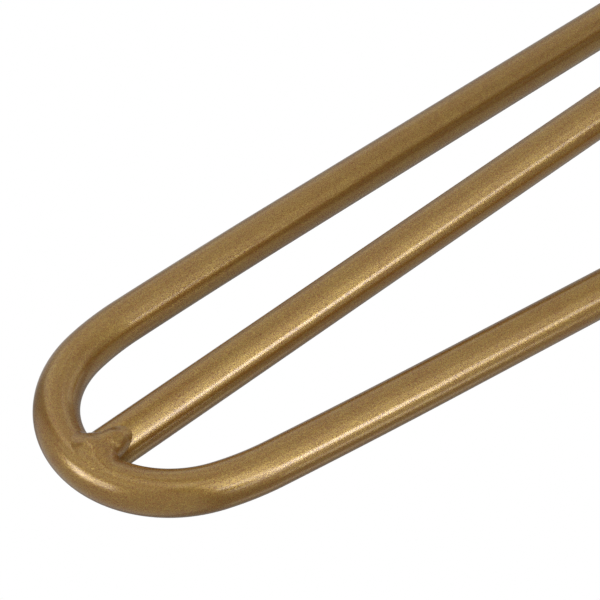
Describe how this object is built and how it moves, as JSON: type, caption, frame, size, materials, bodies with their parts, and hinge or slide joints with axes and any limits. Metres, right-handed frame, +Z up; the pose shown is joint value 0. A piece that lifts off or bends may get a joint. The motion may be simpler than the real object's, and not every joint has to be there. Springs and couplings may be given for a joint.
{
  "type": "hairpin table leg",
  "caption": "Hairpin table leg: a round rod bent into a narrow U foot, a straight rod welded inside the bend, and a flat screw plate on top, powder coated antique gold.",
  "frame": {"origin": "middle of the plate's top face: the centroid of the three rods where they meet the plate", "axes": "+Z up, out of the plate's top face into the table top; X across the U, through both pairs of screw holes; +Y towards the side the U's arms are on"},
  "size_m": [0.124, 0.0675, 0.406],
  "materials": {
    "powder_coat": "antique gold metallic powder coat, satin",
    "powder_coat_weld": "antique gold metallic powder coat over a weld bead"
  },
  "bodies": {
    "root": {"bent_rod": "powder_coat", "third_rod": "powder_coat", "top_plate": "powder_coat", "foot_weld": "powder_coat_weld", "plate_weld_left": "powder_coat_weld", "plate_weld_right": "powder_coat_weld", "plate_weld_third": "powder_coat_weld"}
  },
  "joints": []
}
